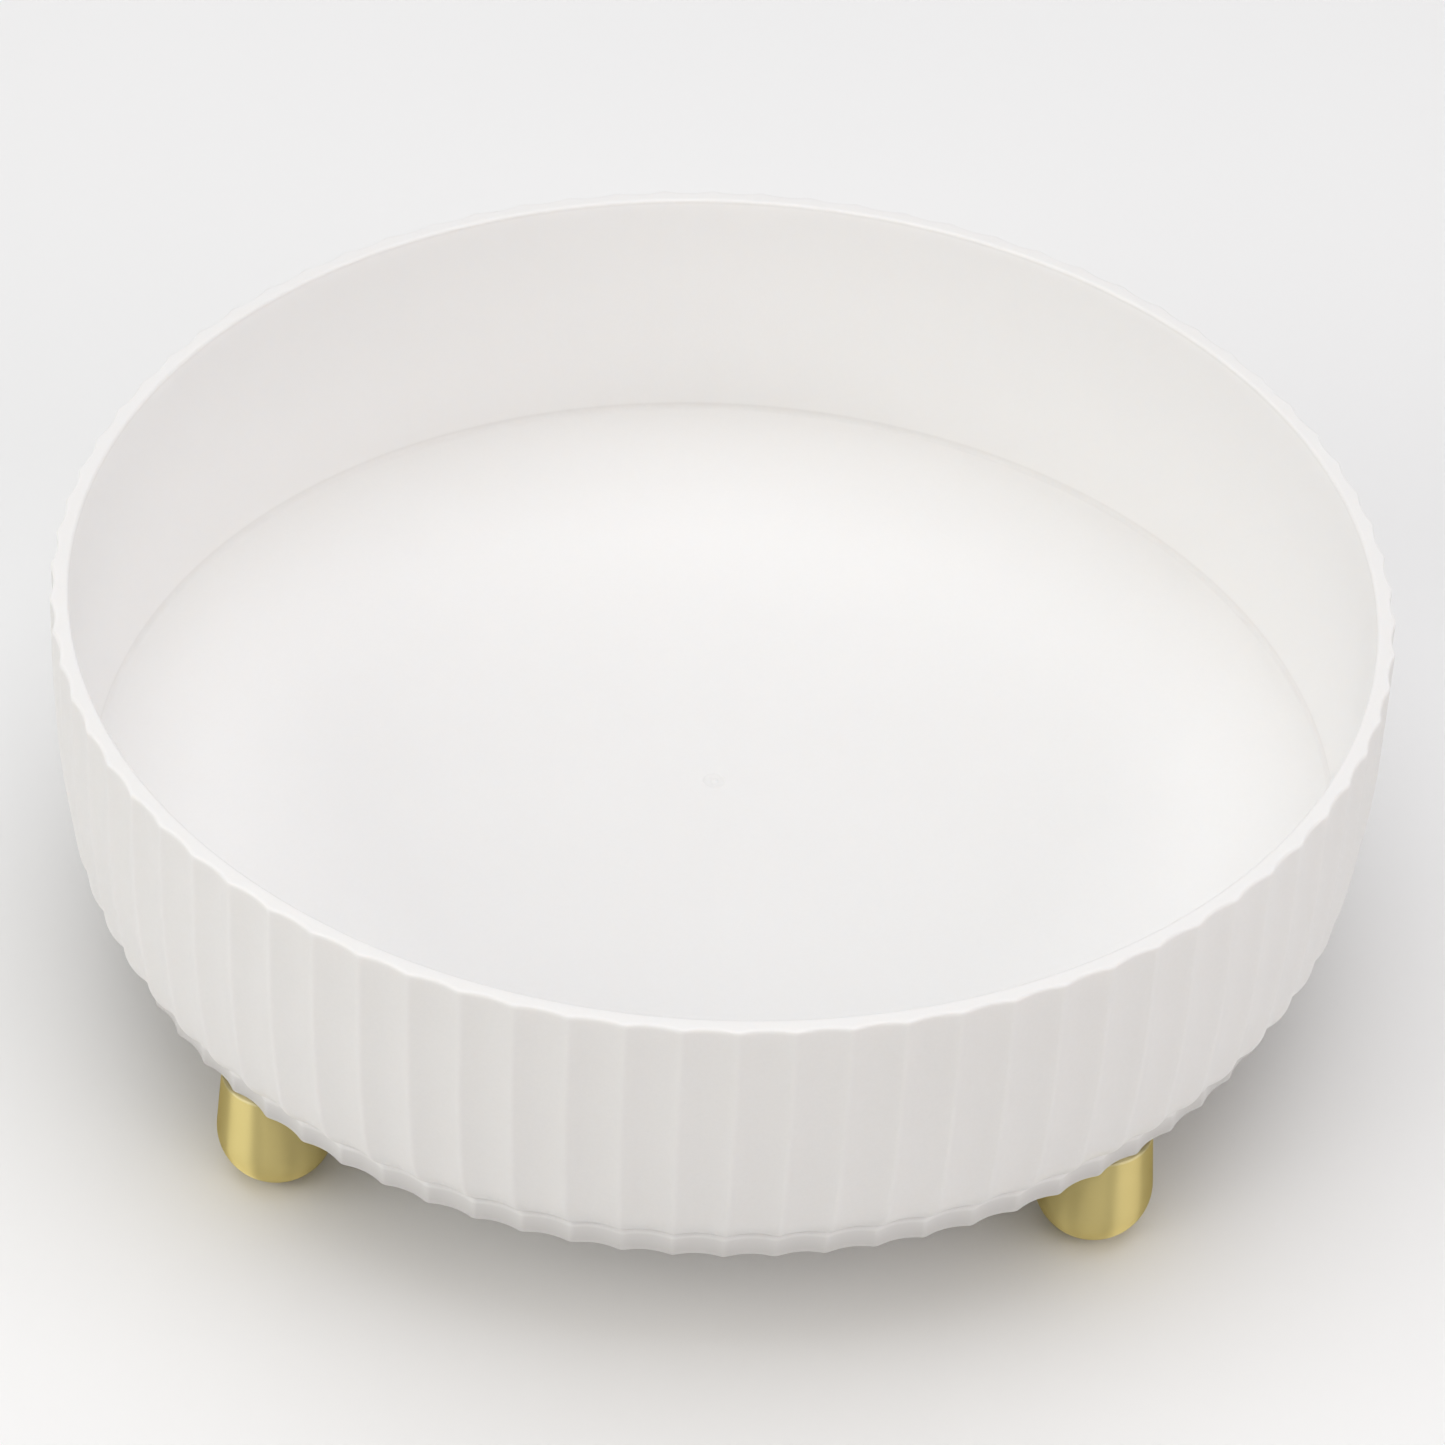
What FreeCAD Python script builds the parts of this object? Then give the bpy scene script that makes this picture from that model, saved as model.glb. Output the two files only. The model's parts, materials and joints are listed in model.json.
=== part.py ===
"""Fluted lazy susan: a round tray that spins over a ring of balls on a low base with four feet.

Millimetres, +Z up. The origin is on the table, under the axis that the tray spins about, so the
undersides of the foot pads are at z = 0. Heights are built downwards from the rim of the tray.
Flute ridges lie at multiples of the flute pitch from +X, and the feet stand on the diagonals.
"""
import FreeCAD, Part
import math
import os

# Driving dimensions
overall_height = 86.5        # table to rim
tray_radius = 125.0          # over the flute ridges, at the rim
flute_count = 80
flute_depth_top = 0.70       # ridge to valley, at the rim
flute_depth_bottom = 0.85    # ridge to valley, at the lower edge

# Outside of the tray wall, as depths below the rim
straight_depth = 16.2        # the wall is upright down to here
belly_depth = 46.9           # then it follows one large arc down to here
band_top_depth = 56.9        # then a small arc down to the crease
lower_edge_depth = 62.2      # below the crease a short upright band
belly_radius = 197.5
corner_radius = 15.2
band_radius = 116.9          # the band stands out a little from the wall above it
lower_edge_radius = 116.7
shoulder_chamfer = 0.35      # on the band's upper edge
rim_chamfer = 0.4

# Inside of the tray
rim_inner_radius = 121.5
floor_radius = 118.8
floor_depth = 50.0           # rim to floor
floor_thickness = 2.5
floor_fillet = 1.0
rim_fillet = 0.6
recess_radius = 113.5        # hollow under the floor, which the base stands in

# Ball race
race_radius = 60.0
ball_radius = 3.0
ball_count = 16
ball_height = 30.2           # centre of a ball above the table
ball_gap = 0.1               # between a ball and each groove
groove_radius = 3.2
race_half_width = 7.0
tray_race_bottom = 31.4
cage_thickness = 1.8
cage_half_width = 5.5
cage_pocket_radius = 3.2

# Base
base_radius = 111.5
base_top = 29.0
base_bottom = 26.6
base_rim_thickness = 2.0
base_race_bottom = 24.6
base_chamfer = 0.4
rib_thickness = 1.6
base_rib_count = 12
tray_rib_count = 8
tray_rib_height = 1.8

# Centre bearing
spindle_radius = 6.0
spindle_bottom = 23.9
spindle_clearance = 0.06
bush_outer_radius = 8.0
bush_flange_radius = 11.0
bush_flange_thickness = 1.2
hub_radius = 13.0
hub_bottom = 24.2
washer_radius = 9.5
washer_hole_radius = 2.3
washer_thickness = 1.2
centre_screw_radius = 1.95
centre_screw_head_radius = 4.4
centre_screw_head_height = 2.6
centre_screw_head_fillet = 0.9
centre_screw_length = 9.3
screw_hole_clearance = 0.05
screw_end_room = 0.5         # past the end of a screw
drive_slot_width = 0.7
drive_slot_depth = 0.8
drive_slot_share = 1.3       # length of a drive slot over the radius of its head

# Feet
foot_circle_radius = 106.9
foot_radius = 11.0
foot_centre_height = 10.5    # centre of the round bottom of a foot
foot_top = 24.0
foot_taper_deg = 4.68        # a foot narrows upwards
foot_chamfer = 0.5
foot_flat_height = 1.0
spigot_radius = 3.0
spigot_height = 2.0
spigot_clearance = 0.1
boss_radius = 8.4
pad_radius = 4.8
pad_thickness = 2.0
pad_chamfer = 0.4
pad_clearance = 0.1
foot_screw_radius = 1.45
foot_screw_head_radius = 3.2
foot_screw_head_height = 1.6
foot_screw_length = 13.2
foot_screw_seat = 27.2       # underside of the head, in a counterbore of the base
foot_screw_passage_radius = 1.8
counterbore_radius = 3.6

foot_angles_deg = {
    "rear_right": 45.0,
    "rear_left": 135.0,
    "front_left": 225.0,
    "front_right": 315.0,
}

# Heights worked out from the driving dimensions
straight_bottom = overall_height - straight_depth
belly_bottom = overall_height - belly_depth
band_top = overall_height - band_top_depth
lower_edge = overall_height - lower_edge_depth
floor_top = overall_height - floor_depth
floor_bottom = floor_top - floor_thickness

overlap = 1.0                # how far joined shapes run into each other, and cuts past a face

centre_axis = FreeCAD.Vector(0, 0, 1)
origin = FreeCAD.Vector(0, 0, 0)


def point(radius, height):
    return FreeCAD.Vector(radius, 0, height)


def polar(radius, angle_deg, height):
    angle = math.radians(angle_deg)
    return FreeCAD.Vector(radius * math.cos(angle), radius * math.sin(angle), height)


def line(start, end):
    return Part.LineSegment(start, end).toShape()


def disc(radius, bottom, top, centre=origin):
    return Part.makeCylinder(radius, top - bottom, FreeCAD.Vector(centre.x, centre.y, bottom))


def ring(inner_radius, outer_radius, bottom, top):
    return disc(outer_radius, bottom, top).cut(disc(inner_radius, bottom, top))


def revolve(edges):
    """Turns a closed outline in the XZ plane once about the centre axis."""
    face = Part.Face(Part.Wire(edges))
    return face.revolve(origin, centre_axis, 360)


def radial_rib(inner_radius, outer_radius, bottom, top, angle_deg):
    rib = Part.makeBox(outer_radius - inner_radius, rib_thickness, top - bottom,
                       FreeCAD.Vector(inner_radius, -rib_thickness / 2, bottom))
    rib.rotate(origin, centre_axis, angle_deg)
    return rib


def fuse_all(first, others):
    return first.multiFuse(others).removeSplitter()


def lowest_edges(shape):
    level = shape.BoundBox.ZMin + 0.01
    return [edge for edge in shape.Edges if edge.BoundBox.ZMax < level]


def eased(shape, size):
    """The shape with its lowest edges chamfered."""
    return shape.makeChamfer(size, lowest_edges(shape))


# The tray: one moulding with a fluted wall, a floor, a race and a spindle

def flute_depth(height):
    share = (overall_height - height) / lower_edge_depth
    return flute_depth_top + share * (flute_depth_bottom - flute_depth_top)


def fluted_wire(ridge_radius, height):
    """One closed ring of shallow concave arcs that meet at sharp ridges."""
    pitch = 360.0 / flute_count
    valley_radius = ridge_radius - flute_depth(height)
    arcs = []
    for index in range(flute_count):
        start = polar(ridge_radius, index * pitch, height)
        middle = polar(valley_radius, (index + 0.5) * pitch, height)
        end = polar(ridge_radius, (index + 1) * pitch, height)
        arcs.append(Part.Arc(start, middle, end).toShape())
    return Part.Wire(arcs)


def ridge_arc(centre_radius, centre_height, radius, start_angle, end_angle, steps):
    """Points along a ridge, with angles measured downwards from level."""
    points = []
    for step in range(steps + 1):
        angle = start_angle + (end_angle - start_angle) * step / steps
        points.append((centre_radius + radius * math.cos(angle),
                       centre_height - radius * math.sin(angle)))
    return points


def ridge_stretches():
    """The stretches of the wall's outline from rim to lower edge, each smooth in itself."""
    belly_end = math.asin((straight_bottom - belly_bottom) / belly_radius)
    belly = ridge_arc(tray_radius - belly_radius, straight_bottom, belly_radius, 0, belly_end, 4)
    corner_centre_radius = belly[-1][0] - corner_radius * math.cos(belly_end)
    corner_centre_height = belly[-1][1] + corner_radius * math.sin(belly_end)
    corner_end = math.asin((corner_centre_height - band_top) / corner_radius)
    corner = ridge_arc(corner_centre_radius, corner_centre_height, corner_radius,
                       belly_end, corner_end, 5)
    chamfer = [(tray_radius - rim_chamfer, overall_height),
               (tray_radius, overall_height - rim_chamfer)]
    upright = [chamfer[-1], belly[0]]
    shoulder = [(band_radius - shoulder_chamfer, band_top),
                (band_radius, band_top - shoulder_chamfer)]
    band = [shoulder[-1], (lower_edge_radius, lower_edge)]
    return [chamfer, upright, belly, corner, shoulder, band]


def wall_outside():
    """The solid inside the fluted outer surface, lofted stretch by stretch."""
    solids = []
    for stretch in ridge_stretches():
        sections = [fluted_wire(radius, height) for radius, height in stretch]
        solids.append(Part.makeLoft(sections, True, len(sections) == 2))
    return solids[0].multiFuse(solids[1:])


def tray_hollow():
    """The space that holds things, with a rounded floor corner and a rounded inner rim edge."""
    slope = math.atan2(rim_inner_radius - floor_radius, floor_depth)
    half_turn = (math.pi / 2 - slope) / 2
    reach = floor_fillet * math.tan(half_turn)
    floor_edge = point(floor_radius - reach, floor_top)
    wall_foot = point(floor_radius + reach * math.sin(slope), floor_top + reach * math.cos(slope))
    arc_centre = point(floor_radius - reach, floor_top + floor_fillet)
    turn = -half_turn
    arc_middle = point(arc_centre.x + floor_fillet * math.sin(-turn),
                       arc_centre.z - floor_fillet * math.cos(turn))
    wall_head = point(rim_inner_radius - rim_fillet * math.tan(slope), overall_height - rim_fillet)
    rim_middle = point(rim_inner_radius + rim_fillet * (1 - math.cos(math.pi / 4)),
                       overall_height - rim_fillet * (1 - math.sin(math.pi / 4)))
    rim_edge = point(rim_inner_radius + rim_fillet, overall_height)
    above = overall_height + overlap
    return revolve([
        line(point(0, floor_top), floor_edge),
        Part.Arc(floor_edge, arc_middle, wall_foot).toShape(),
        line(wall_foot, wall_head),
        Part.Arc(wall_head, rim_middle, rim_edge).toShape(),
        line(rim_edge, point(rim_edge.x, above)),
        line(point(rim_edge.x, above), point(0, above)),
        line(point(0, above), point(0, floor_top)),
    ])


def tray():
    shell = wall_outside()
    shell = shell.cut(tray_hollow())
    shell = shell.cut(disc(recess_radius, lower_edge - overlap, floor_bottom))
    additions = [
        ring(race_radius - race_half_width, race_radius + race_half_width,
             tray_race_bottom, floor_bottom),
        disc(spindle_radius, spindle_bottom, floor_bottom),
    ]
    for index in range(tray_rib_count):
        angle = index * 360.0 / tray_rib_count
        rib_bottom = floor_bottom - tray_rib_height
        additions.append(radial_rib(spindle_radius - overlap,
                                    race_radius - race_half_width + overlap,
                                    rib_bottom, floor_bottom, angle))
        additions.append(radial_rib(race_radius + race_half_width - overlap,
                                    recess_radius + overlap,
                                    rib_bottom, floor_bottom, angle))
    shell = fuse_all(shell, additions)
    groove_centre = ball_height + ball_radius + ball_gap - groove_radius
    shell = shell.cut(Part.makeTorus(race_radius, groove_radius, point(0, groove_centre)))
    pilot_radius = centre_screw_radius + screw_hole_clearance
    screw_end = spindle_bottom - washer_thickness + centre_screw_length
    return shell.cut(disc(pilot_radius, spindle_bottom - overlap, screw_end + screw_end_room))


# The centre bearing: a bush in the base, and the screw and washer that hold the tray down

def hub_bush():
    sleeve = disc(bush_outer_radius, hub_bottom, base_top)
    flange = disc(bush_flange_radius, base_top, base_top + bush_flange_thickness)
    bore = disc(spindle_radius + spindle_clearance, hub_bottom - overlap,
                base_top + bush_flange_thickness + overlap)
    return fuse_all(sleeve, [flange]).cut(bore)


def retaining_washer():
    return ring(washer_hole_radius, washer_radius, spindle_bottom - washer_thickness,
                spindle_bottom)


def drive_cross(head_radius, bottom, top):
    length = drive_slot_share * head_radius
    slot = Part.makeBox(length, drive_slot_width, top - bottom,
                        FreeCAD.Vector(-length / 2, -drive_slot_width / 2, bottom))
    cross = slot.copy()
    cross.rotate(origin, centre_axis, 90)
    return slot.fuse(cross)


def centre_screw():
    seat = spindle_bottom - washer_thickness
    head_bottom = seat - centre_screw_head_height
    head = disc(centre_screw_head_radius, head_bottom, seat)
    head = head.makeFillet(centre_screw_head_fillet, lowest_edges(head))
    shank = disc(centre_screw_radius, seat, seat + centre_screw_length)
    screw = fuse_all(head, [shank])
    return screw.cut(drive_cross(centre_screw_head_radius, head_bottom,
                                 head_bottom + drive_slot_depth))


# The ball race

def ball_centre(index):
    pitch = 360.0 / ball_count
    return polar(race_radius, (index + 0.5) * pitch, ball_height)


def race_ball(index):
    return Part.makeSphere(ball_radius, ball_centre(index))


def ball_cage():
    bottom = ball_height - cage_thickness / 2
    top = ball_height + cage_thickness / 2
    cage = ring(race_radius - cage_half_width, race_radius + cage_half_width, bottom, top)
    pockets = [disc(cage_pocket_radius, bottom, top, ball_centre(index))
               for index in range(ball_count)]
    return cage.cut(Part.makeCompound(pockets))


# The base

def base_ribs():
    ribs = []
    for index in range(base_rib_count):
        angle = index * 360.0 / base_rib_count
        for inner, outer in ((hub_radius - overlap, race_radius - race_half_width + overlap),
                             (race_radius + race_half_width - overlap,
                              base_radius - base_rim_thickness + overlap)):
            ribs.append(eased(radial_rib(inner, outer, base_race_bottom, base_top, angle),
                              base_chamfer))
    return ribs


def foot_bosses():
    """Pads of plastic above the feet, trimmed to the edge of the base."""
    envelope = disc(base_radius, foot_top, base_top)
    return [disc(boss_radius, foot_top, base_top, polar(foot_circle_radius, angle, 0)).common(envelope)
            for angle in foot_angles_deg.values()]


def base_plate():
    plate = disc(base_radius, base_bottom, base_top)
    rim = ring(base_radius - base_rim_thickness, base_radius, foot_top, base_top)
    race = ring(race_radius - race_half_width, race_radius + race_half_width,
                base_race_bottom, base_top)
    hub = disc(hub_radius, hub_bottom, base_top)
    raised = [eased(shape, base_chamfer) for shape in (rim, race, hub)]
    plate = fuse_all(plate, raised + base_ribs() + foot_bosses())
    groove_centre = ball_height - ball_radius - ball_gap + groove_radius
    cuts = [
        Part.makeTorus(race_radius, groove_radius, point(0, groove_centre)),
        disc(bush_outer_radius, hub_bottom - overlap, base_top + overlap),
    ]
    for angle in foot_angles_deg.values():
        centre = polar(foot_circle_radius, angle, 0)
        cuts.append(disc(spigot_radius + spigot_clearance, foot_top - overlap,
                         foot_top + spigot_height, centre))
        cuts.append(disc(foot_screw_passage_radius, foot_top - overlap, base_top + overlap,
                         centre))
        cuts.append(disc(counterbore_radius, foot_screw_seat, base_top + overlap, centre))
    for tool in cuts:
        plate = plate.cut(tool)
    return plate


# A foot, its pad and its screw, each made about the centre axis and then moved out

def foot():
    taper = math.radians(foot_taper_deg)
    flat_turn = math.asin((foot_centre_height - foot_flat_height) / foot_radius)
    flat_edge, dome_middle, dome_end = [
        point(foot_radius * math.cos(turn), foot_centre_height + foot_radius * math.sin(turn))
        for turn in (-flat_turn, (taper - flat_turn) / 2, taper)]
    side_top = foot_top - foot_chamfer
    side_end = point(dome_end.x - (side_top - dome_end.z) * math.tan(taper), side_top)
    top_edge = point(side_end.x - foot_chamfer, foot_top)
    body = revolve([
        line(point(0, foot_flat_height), flat_edge),
        Part.Arc(flat_edge, dome_middle, dome_end).toShape(),
        line(dome_end, side_end),
        line(side_end, top_edge),
        line(top_edge, point(0, foot_top)),
        line(point(0, foot_top), point(0, foot_flat_height)),
    ])
    spigot = disc(spigot_radius, foot_top - overlap, foot_top + spigot_height)
    body = fuse_all(body, [spigot])
    pilot_radius = foot_screw_radius + screw_hole_clearance
    pilot_bottom = foot_screw_seat - foot_screw_length - screw_end_room
    body = body.cut(disc(pilot_radius, pilot_bottom, foot_top + spigot_height + overlap))
    return body.cut(disc(pad_radius + pad_clearance, foot_flat_height - overlap, pad_thickness))


def foot_pad():
    return eased(disc(pad_radius, 0, pad_thickness), pad_chamfer)


def foot_screw():
    head_top = foot_screw_seat + foot_screw_head_height
    head = disc(foot_screw_head_radius, foot_screw_seat, head_top)
    shank = disc(foot_screw_radius, foot_screw_seat - foot_screw_length, foot_screw_seat)
    screw = fuse_all(head, [shank])
    return screw.cut(drive_cross(foot_screw_head_radius, head_top - drive_slot_depth, head_top))


def at_foot(shape, angle_deg):
    placed = shape.copy()
    placed.translate(FreeCAD.Vector(foot_circle_radius, 0, 0))
    placed.rotate(origin, centre_axis, angle_deg)
    return placed


def all_nodes():
    nodes = {
        "tray": tray(),
        "centre_screw": centre_screw(),
        "retaining_washer": retaining_washer(),
        "hub_bush": hub_bush(),
        "base_plate": base_plate(),
        "ball_cage": ball_cage(),
    }
    for index in range(ball_count):
        nodes["race_ball_%02d" % (index + 1)] = race_ball(index)
    for place, angle in foot_angles_deg.items():
        nodes["foot_" + place] = at_foot(foot(), angle)
        nodes["foot_pad_" + place] = at_foot(foot_pad(), angle)
        nodes["foot_screw_" + place] = at_foot(foot_screw(), angle)
    return nodes


os.makedirs("parts", exist_ok=True)
for name, shape in all_nodes().items():
    shape.exportStep("parts/" + name + ".step")
    print("%-28s solids %d valid %s volume %9.1f faces %d"
          % (name, len(shape.Solids), shape.isValid(), shape.Volume, len(shape.Faces)))
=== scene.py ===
"""Looks of a fluted lazy susan: a white moulded tray on satin gold feet, in a plain pale studio.

Metres, in the same frame as the CAD: +Z up, the spin axis through the origin, the table at z = 0.
The tray, the feet and their pads are rebuilt as fine lathed meshes; the other CAD nodes stay.
"""
import json
import math

import bmesh
import bpy
from mathutils import Matrix, Vector


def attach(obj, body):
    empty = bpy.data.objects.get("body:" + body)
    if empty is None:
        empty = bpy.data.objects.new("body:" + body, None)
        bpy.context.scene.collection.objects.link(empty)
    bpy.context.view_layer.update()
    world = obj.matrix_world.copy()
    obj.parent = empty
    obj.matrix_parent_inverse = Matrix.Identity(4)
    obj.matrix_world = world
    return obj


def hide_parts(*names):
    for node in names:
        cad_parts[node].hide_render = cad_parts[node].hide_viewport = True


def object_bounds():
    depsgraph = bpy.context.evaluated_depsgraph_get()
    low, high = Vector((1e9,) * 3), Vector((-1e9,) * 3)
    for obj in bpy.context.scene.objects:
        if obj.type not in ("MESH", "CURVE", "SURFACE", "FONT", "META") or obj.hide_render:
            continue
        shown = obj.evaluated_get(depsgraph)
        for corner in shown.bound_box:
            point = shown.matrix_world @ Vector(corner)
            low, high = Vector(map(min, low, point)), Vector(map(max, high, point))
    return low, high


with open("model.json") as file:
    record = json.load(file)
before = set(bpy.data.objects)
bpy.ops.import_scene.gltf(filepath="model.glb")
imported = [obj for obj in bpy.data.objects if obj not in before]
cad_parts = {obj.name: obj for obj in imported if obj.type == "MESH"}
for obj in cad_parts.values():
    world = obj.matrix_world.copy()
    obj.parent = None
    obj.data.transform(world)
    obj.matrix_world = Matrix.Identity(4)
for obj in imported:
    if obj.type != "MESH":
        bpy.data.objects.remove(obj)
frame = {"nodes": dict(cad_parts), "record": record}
cad_low, cad_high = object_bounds()

MM = 0.001

# The tray, in millimetres. Its heights are depths below the rim.
RIM_Z = cad_high.z / MM
TRAY_RADIUS = cad_high.x / MM
FLUTE_COUNT = 80
FLUTE_DEPTH_TOP = 0.70
FLUTE_DEPTH_BOTTOM = 0.85
RIDGE_ROUNDING = 0.08        # half width of a ridge's round top, as a share of the flute pitch
STRAIGHT_DEPTH = 16.2
BELLY_DEPTH = 46.9
BAND_TOP_DEPTH = 56.9
LOWER_EDGE_DEPTH = 62.2
BELLY_RADIUS = 197.5
CORNER_RADIUS = 15.2
BAND_RADIUS = 116.9
SHOULDER_ROUNDING = 1.0      # of the band's upper edge, under the crease
SHOULDER_START_DEG = 50      # where that rounding starts: 0 faces outwards, 90 faces up
LOWER_EDGE_RADIUS = 116.7
LOWER_EDGE_ROUNDING = 0.45
RIM_INNER_RADIUS = 121.5
RIM_INNER_ROUNDING = 0.6
RIM_OUTER_ROUNDING = 0.45
FLOOR_RADIUS = 118.8
FLOOR_DEPTH = 50.0
FLOOR_ROUNDING = 1.0
FLOOR_THICKNESS = 2.5
RECESS_RADIUS = 113.5
SMALL_ROUNDING = 0.3         # of edges that a mould leaves slightly soft

# The moulding gate's mark in the middle of the floor: a pip in a dimple, in millimetres
GATE_RADIUS = 2.1
GATE_DEPTH = 0.15
GATE_PIP_RADIUS = 0.7
GATE_CROWN = 0.01            # how far the pip's top and the dimple's rim round over

# How rubbed clean, and so how pale, each part of the tray is, from 0 to 1. On the floor it is partly
# painted light; on the inner wall and the band's shoulder it is wholly painted light.
RIM_WEAR = 0.45
RIDGE_WEAR = 0.08
# painted light, partly: the floor is made paler than rubbing alone would make it
FLOOR_WEAR_AND_PAINTED_LIGHT = 0.42
GATE_WEAR = 0.3
# painted light: the whole inner wall is made paler, as if lit more
INNER_WALL_PAINTED_LIGHT = 1.0
# painted highlight: the band's shoulder under the crease is made paler
SHOULDER_PAINTED_HIGHLIGHT = 1.0

# The race and the spindle under the tray, in millimetres above the table
RACE_RADIUS = 60.0
RACE_HALF_WIDTH = 7.0
RACE_BOTTOM = 31.4
GROOVE_RADIUS = 3.2
GROOVE_TOP = 33.3
SPINDLE_RADIUS = 6.0
SPINDLE_BOTTOM = 23.9
PILOT_RADIUS = 2.0
PILOT_TOP = 32.5
TRAY_RIB_COUNT = 8
TRAY_RIB_HEIGHT = 1.8
TRAY_RIB_THICKNESS = 1.6
TRAY_RIB_ROUNDING = 0.2
TRAY_RIB_OVERLAP = 1.0       # how far a rib reaches into the walls and the floor that it joins

# A foot and its pad, in millimetres above the table
FOOT_CIRCLE_RADIUS = 106.9
FOOT_RADIUS = 11.0
FOOT_CENTRE_Z = 10.5
FOOT_TOP = 24.0
FOOT_TAPER_DEG = 4.68
FOOT_TOP_ROUNDING = 0.3
FOOT_FLAT_Z = 1.0
FOOT_HOLE_RADIUS = 1.5
FOOT_HOLE_BOTTOM = 13.5
FOOT_SMALL_ROUNDING = 0.2    # of the foot's pocket and spigot
FOOT_BOTTOM_GAP_DEG = 1.0    # between the flat round the pocket and the first row of the round
FOOT_EDGE_WEAR = 1.0
SPIGOT_RADIUS = 3.0
SPIGOT_TOP = 26.0
PAD_RADIUS = 4.8
PAD_THICKNESS = 2.0
PAD_POCKET_RADIUS = 4.9
PAD_LOWER_ROUNDING = 0.35
PAD_UPPER_ROUNDING = 0.15
GRIP_RINGS = ((1.2, 1.9), (3.0, 3.6))    # inner and outer radius of each groove under a pad
GRIP_DEPTH = 0.15
FOOT_ANGLES_DEG = {"rear_right": 45, "rear_left": 135, "front_left": 225, "front_right": 315}

# The camera: it looks at a point near the middle of the rim, from above and in front
CAMERA_AZIMUTH_DEG = 1.48    # how far the camera stands round from -Y towards +X
CAMERA_ELEVATION_DEG = 39.84
CAMERA_ROLL_DEG = 2.97
CAMERA_DISTANCE = 1.0845
CAMERA_LENS_MM = 149.5
CAMERA_SENSOR_MM = 36
AIM_RIGHT = 0.0010
AIM_FORWARD = -0.0426

# The studio: what the room gives at the horizon and overhead, then the softboxes
HORIZON_LIGHT = (0.26, 0.242, 0.232)
OVERHEAD_LIGHT = (0.286, 0.278, 0.272)
OVERHEAD_FROM = 0.7          # how high a direction points where the overhead light is full
# Each softbox: name, compass angle from +X, elevation, distance, width, height, power, colour
SOFTBOXES = (
    ("top_softbox", 90, 76, 2.6, 3.0, 3.0, 39.0, (0.915, 0.945, 1.0)),
    ("front_softbox", 270, 60, 2.4, 1.6, 1.6, 10.5, (1.0, 0.96, 0.90)),
    ("left_softbox", 207, 27, 2.0, 1.6, 1.0, 12.3, (1.0, 0.99, 0.955)),
    ("right_softbox", 335, 27, 2.0, 1.6, 1.0, 9.5, (1.0, 0.95, 0.95)),
)
TABLE_COLOUR = (0.91, 0.91, 0.905)
TABLE_SIDE = 12.0

# How moulded plastic changes: rubbed places get cleaner, paler and smoother; on the tray's floor,
# inner wall and band shoulder that paler tone is also painted light. The grey tone is painted shade,
# not soil.
CLEAN_AND_PAINTED_LIGHT_TONE = (0.97, 0.965, 0.955)
CLEAN_AND_PAINTED_LIGHT_SHARE = 0.8
CLEAN_SMOOTHING = 0.08
# painted shade: the grey that the band, and faintly the belly over the crease, are darkened towards
PAINTED_SHADE_TONE = (0.63, 0.62, 0.61)
BELLY_PAINTED_SHADE_HEIGHT = 6.0      # how far over the crease the painted shade still reaches
# how strong the painted shade is just over the crease
BELLY_PAINTED_SHADE_SHARE = 0.18
GRAIN_HEIGHT = 0.00003       # of the spark-eroded grain, in metres

# A noise texture's values lie nearly all between these
NOISE_LOW = 0.3
NOISE_HIGH = 0.7

# Where the samples lie round one flute, as shares of its pitch: close together at the ridges
FLUTE_SAMPLES = (0.0, 0.025, 0.05, 0.08, 0.13, 0.22, 0.32, 0.41,
                 0.50, 0.59, 0.68, 0.78, 0.87, 0.92, 0.95, 0.975)
SMOOTH_COUNT = 256           # places round a smooth row; the fluted rows have five times as many
CENTRE_COUNT = 64            # places round the small rows at the centre
FOOT_COUNT = 96
FLOOR_ROW_RADII = (6.0, 25.0, 60.0, 95.0, 112.0)
INNER_WALL_STEPS = 6
FOOT_SIDE_ROWS = (15.0, 19.0)
HOLD = 0.4                   # a row this far from a rounding keeps the flat beside it flat
SHORT_HOLD = 0.1


# ---------------------------------------------------------------- meshes

def arc(centre_r, centre_z, radius, start_deg, end_deg, steps, wear_and_painted_light=0.0):
    """Points (r, z, wear) of an arc, both ends included. 0 degrees is outwards, 90 is up."""
    points = []
    for step in range(steps + 1):
        angle = math.radians(start_deg + (end_deg - start_deg) * step / steps)
        points.append((centre_r + radius * math.cos(angle), centre_z + radius * math.sin(angle),
                       wear_and_painted_light))
    return points


def flute_shape(share):
    """Depth of the scallop at a share of the pitch: 0 on the rounded ridge, 1 in the valley."""
    near = min(share, 1 - share)
    lowest = 2 * RIDGE_ROUNDING
    if near >= RIDGE_ROUNDING:
        depth = 4 * near * (1 - near)
    else:
        depth = lowest + 2 * (1 - lowest) / RIDGE_ROUNDING * near * near
    return (depth - lowest) / (1 - lowest)


def ridge_wear(share):
    """1 at the top of a ridge, falling to 0 where its rounding ends."""
    return max(0.0, 1 - min(share, 1 - share) / RIDGE_ROUNDING)


def flute_depth(z):
    """The flutes get slightly deeper from the rim to the lower edge."""
    share = (RIM_Z - z) / LOWER_EDGE_DEPTH
    return FLUTE_DEPTH_TOP + share * (FLUTE_DEPTH_BOTTOM - FLUTE_DEPTH_TOP)


def fluted_row(radius, z, wear_and_painted_light=0.0):
    """One closed ring of places (x, y, z, wear) along the flutes; radius is that of the ridges."""
    places = []
    for flute in range(FLUTE_COUNT):
        for share in FLUTE_SAMPLES:
            angle = 2 * math.pi * (flute + share) / FLUTE_COUNT
            r = radius - flute_depth(z) * flute_shape(share)
            places.append((r * math.cos(angle), r * math.sin(angle), z,
                           max(wear_and_painted_light, RIDGE_WEAR * ridge_wear(share))))
    return places


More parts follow.
